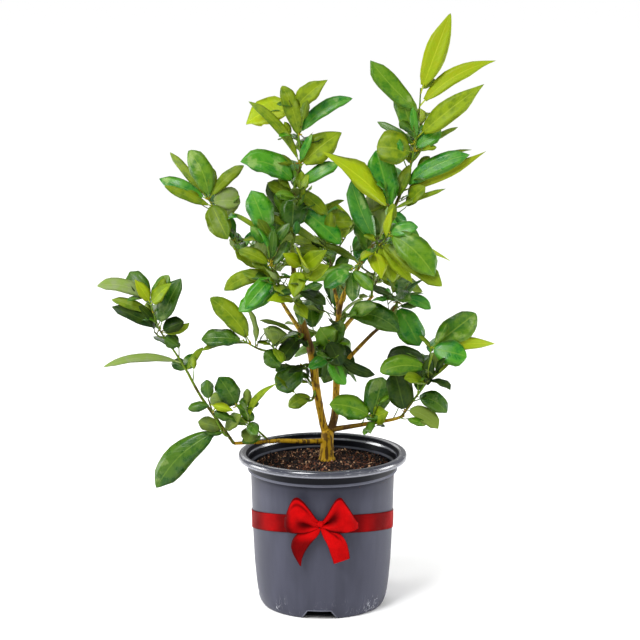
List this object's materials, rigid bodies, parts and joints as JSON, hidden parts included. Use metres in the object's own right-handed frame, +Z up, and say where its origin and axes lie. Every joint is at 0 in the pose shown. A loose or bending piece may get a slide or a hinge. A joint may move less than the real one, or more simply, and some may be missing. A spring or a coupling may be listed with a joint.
{
  "type": "potted persian lime tree",
  "caption": "Young lime tree with arching boughs and glossy pointed leaves, growing in a round lipped nursery pot tied with a satin ribbon and bow.",
  "frame": {"origin": "centre of the pot's flat underside", "axes": "+Z up along the pot's axis, -Y towards the front where the bow is tied, +X to the right as seen from the front"},
  "size_m": [0.5343, 0.3429, 0.8048],
  "materials": {
    "pot": "satin blow-moulded plastic with fine scuffs",
    "soil": "loose dark bark chips and crumbs",
    "ribbon": "satin weave, soft sheen",
    "bark": "smooth young bark, olive streaked with brown",
    "foliage": "glossy leaves, pale underneath"
  },
  "bodies": {
    "root": {"bough_back": "bark", "bough_back_left": "bark", "bough_back_right": "bark", "bough_diagonal": "bark", "bough_left": "bark", "bough_low_left": "bark", "bough_low_left_rise": "bark", "bough_low_right": "bark", "bough_right": "bark", "bough_right_upper": "bark", "bow_knot": "ribbon", "bow_loop_left": "ribbon", "bow_loop_right": "ribbon", "bow_tail_left": "ribbon", "bow_tail_right": "ribbon", "leaves_back_left": "foliage", "leaves_back_low": "foliage", "leaves_back_right": "foliage", "leaves_back_top": "foliage", "leaves_centre_front": "foliage", "leaves_centre_left": "foliage", "leaves_centre_low": "foliage", "leaves_centre_right": "foliage", "leaves_fork_left": "foliage", "leaves_left_low": "foliage", "leaves_left_mid": "foliage", "leaves_low_left_inner": "foliage", "leaves_low_left_outer": "foliage", "leaves_low_left_rise": "foliage", "leaves_low_right": "foliage", "leaves_low_right_inner": "foliage", "leaves_right_crest": "foliage", "leaves_right_front": "foliage", "leaves_right_inner": "foliage", "leaves_right_outer": "foliage", "leaves_top_left": "foliage", "leaves_top_mid": "foliage", "leaves_top_right": "foliage", "leaves_upper_left": "foliage", "leaves_upper_left_inner": "foliage", "pot": "pot", "ribbon_band": "ribbon", "soil": "soil", "trunk": "bark"}
  },
  "joints": []
}
